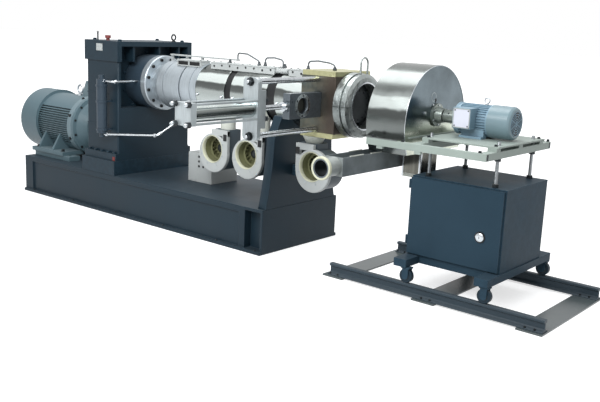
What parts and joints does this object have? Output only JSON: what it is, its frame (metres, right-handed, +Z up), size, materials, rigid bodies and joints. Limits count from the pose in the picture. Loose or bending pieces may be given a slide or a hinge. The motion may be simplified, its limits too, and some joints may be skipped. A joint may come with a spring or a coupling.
{
  "type": "plastic extruder with die cutter trolley",
  "caption": "Extruder on a welded base: motor, gearbox, clad barrel, screen changer with hydraulic slide, die, and a hot-face cutter trolley on rails.",
  "frame": {"origin": "on the floor, at the centre of the base's underside", "axes": "+X along the barrel from the drive to the die, +Z up, -Y the operator's side"},
  "size_m": [5.481, 1.9485, 1.504],
  "materials": {
    "navy_paint": "dark navy machine enamel",
    "motor_paint": "grey-green motor enamel",
    "dark_steel": "dark fittings",
    "bright_steel": "bright plated steel",
    "satin_steel": "turned and ground steel",
    "black_steel": "bare dark steel",
    "polished_steel": "polished stainless sheet",
    "light_paint": "light grey paint",
    "scroll_paint": "dark blower scroll",
    "duct_paint": "off-white duct",
    "bronze_steel": "heat-tinted steel block",
    "brass_plate": "golden heater plates",
    "foil": "crinkled foil over insulation",
    "rail_steel": "dark rail steel",
    "cabinet_paint": "slate blue enamel",
    "wheel_iron": "cast wheels",
    "table_paint": "pale grey-green enamel",
    "cutter_motor_paint": "grey-blue motor enamel"
  },
  "bodies": {
    "machine": {"base_frame": "navy_paint", "gearbox_plinth": "navy_paint", "front_pedestal": "navy_paint", "motor_slide_rails": "motor_paint", "motor_stator": "motor_paint", "motor_fan_cowl": "motor_paint", "motor_end_bell": "motor_paint", "motor_terminal_box": "motor_paint", "coupling_guard": "navy_paint", "gearbox_housing": "navy_paint", "gearbox_cover": "navy_paint", "gearbox_bearing_boss": "navy_paint", "gearbox_breathers": "dark_steel", "oil_filter": "dark_steel", "oil_pipes": "bright_steel", "feed_section": "satin_steel", "barrel_tube": "black_steel", "barrel_covers": "polished_steel", "barrel_terminal_boxes": "light_paint", "barrel_top_bar": "light_paint", "barrel_conduits": "light_paint", "blower_housings": "scroll_paint", "blower_inlet_rings": "light_paint", "blower_ducts": "duct_paint", "blower_stands": "navy_paint", "terminal_cabinet": "light_paint", "screen_block": "bronze_steel", "screen_clamp_bars": "brass_plate", "screen_tie_bars": "satin_steel", "cylinder_mount_plate": "satin_steel", "cylinder_tube": "bright_steel", "cylinder_rear_cap": "bright_steel", "die_ring": "foil", "die_plate": "black_steel", "lifting_loop": "foil", "rail_near": "rail_steel", "rail_far": "rail_steel", "rail_sleepers": "rail_steel"},
    "trolley": {"cabinet_shell": "cabinet_paint", "trolley_underframe": "cabinet_paint", "caster_forks": "bright_steel", "height_columns": "bright_steel", "column_nuts": "bright_steel", "table_side_tubes": "table_paint", "table_cross_tubes": "table_paint", "motor_plate": "table_paint", "hood_drum": "polished_steel", "cutter_bearing": "satin_steel", "cutter_motor": "cutter_motor_paint", "cutter_motor_cowl": "cutter_motor_paint", "outlet_trough": "light_paint"},
    "cabinet_door": {"cabinet_door": "cabinet_paint"},
    "screen_changer": {"screen_slide": "satin_steel", "screen_rod": "bright_steel"},
    "cutter_rotor": {"cutter_shaft": "satin_steel", "cutter_knives": "black_steel"},
    "wheel_near_front": {"wheel_near_front": "wheel_iron"},
    "wheel_near_rear": {"wheel_near_rear": "wheel_iron"},
    "wheel_far_front": {"wheel_far_front": "wheel_iron"},
    "wheel_far_rear": {"wheel_far_rear": "wheel_iron"}
  },
  "joints": [
    {"name": "trolley_slide", "type": "slide", "parent": "machine", "child": "trolley", "axis": [1, 0, 0], "range_m": [-0.29, 0.3]},
    {"name": "door_hinge", "type": "hinge", "parent": "trolley", "child": "cabinet_door", "pos_m": [2.613, -0.2935, 0.49], "axis": [0, 0, -1], "range_deg": [0, 95]},
    {"name": "screen_slide", "type": "slide", "parent": "machine", "child": "screen_changer", "axis": [0, 1, 0], "range_m": [0, 0.19]},
    {"name": "cutter_spin", "type": "hinge", "parent": "trolley", "child": "cutter_rotor", "pos_m": [2.5, 0, 1.1], "axis": [1, 0, 0], "continuous": true},
    {"name": "wheel_near_front_roll", "type": "hinge", "parent": "trolley", "child": "wheel_near_front", "pos_m": [2.705, -0.41, 0.1303], "axis": [0, 1, 0], "range_deg": [-400, 400]},
    {"name": "wheel_near_rear_roll", "type": "hinge", "parent": "trolley", "child": "wheel_near_rear", "pos_m": [3.242, -0.41, 0.1303], "axis": [0, 1, 0], "range_deg": [-400, 400]},
    {"name": "wheel_far_front_roll", "type": "hinge", "parent": "trolley", "child": "wheel_far_front", "pos_m": [2.705, 0.41, 0.1303], "axis": [0, 1, 0], "range_deg": [-400, 400]},
    {"name": "wheel_far_rear_roll", "type": "hinge", "parent": "trolley", "child": "wheel_far_rear", "pos_m": [3.242, 0.41, 0.1303], "axis": [0, 1, 0], "range_deg": [-400, 400]}
  ],
  "couplings": [
    {"joint": "wheel_near_front_roll", "follows": "trolley_slide", "rad_per_m": 22.222},
    {"joint": "wheel_near_rear_roll", "follows": "trolley_slide", "rad_per_m": 22.222},
    {"joint": "wheel_far_front_roll", "follows": "trolley_slide", "rad_per_m": 22.222},
    {"joint": "wheel_far_rear_roll", "follows": "trolley_slide", "rad_per_m": 22.222}
  ]
}
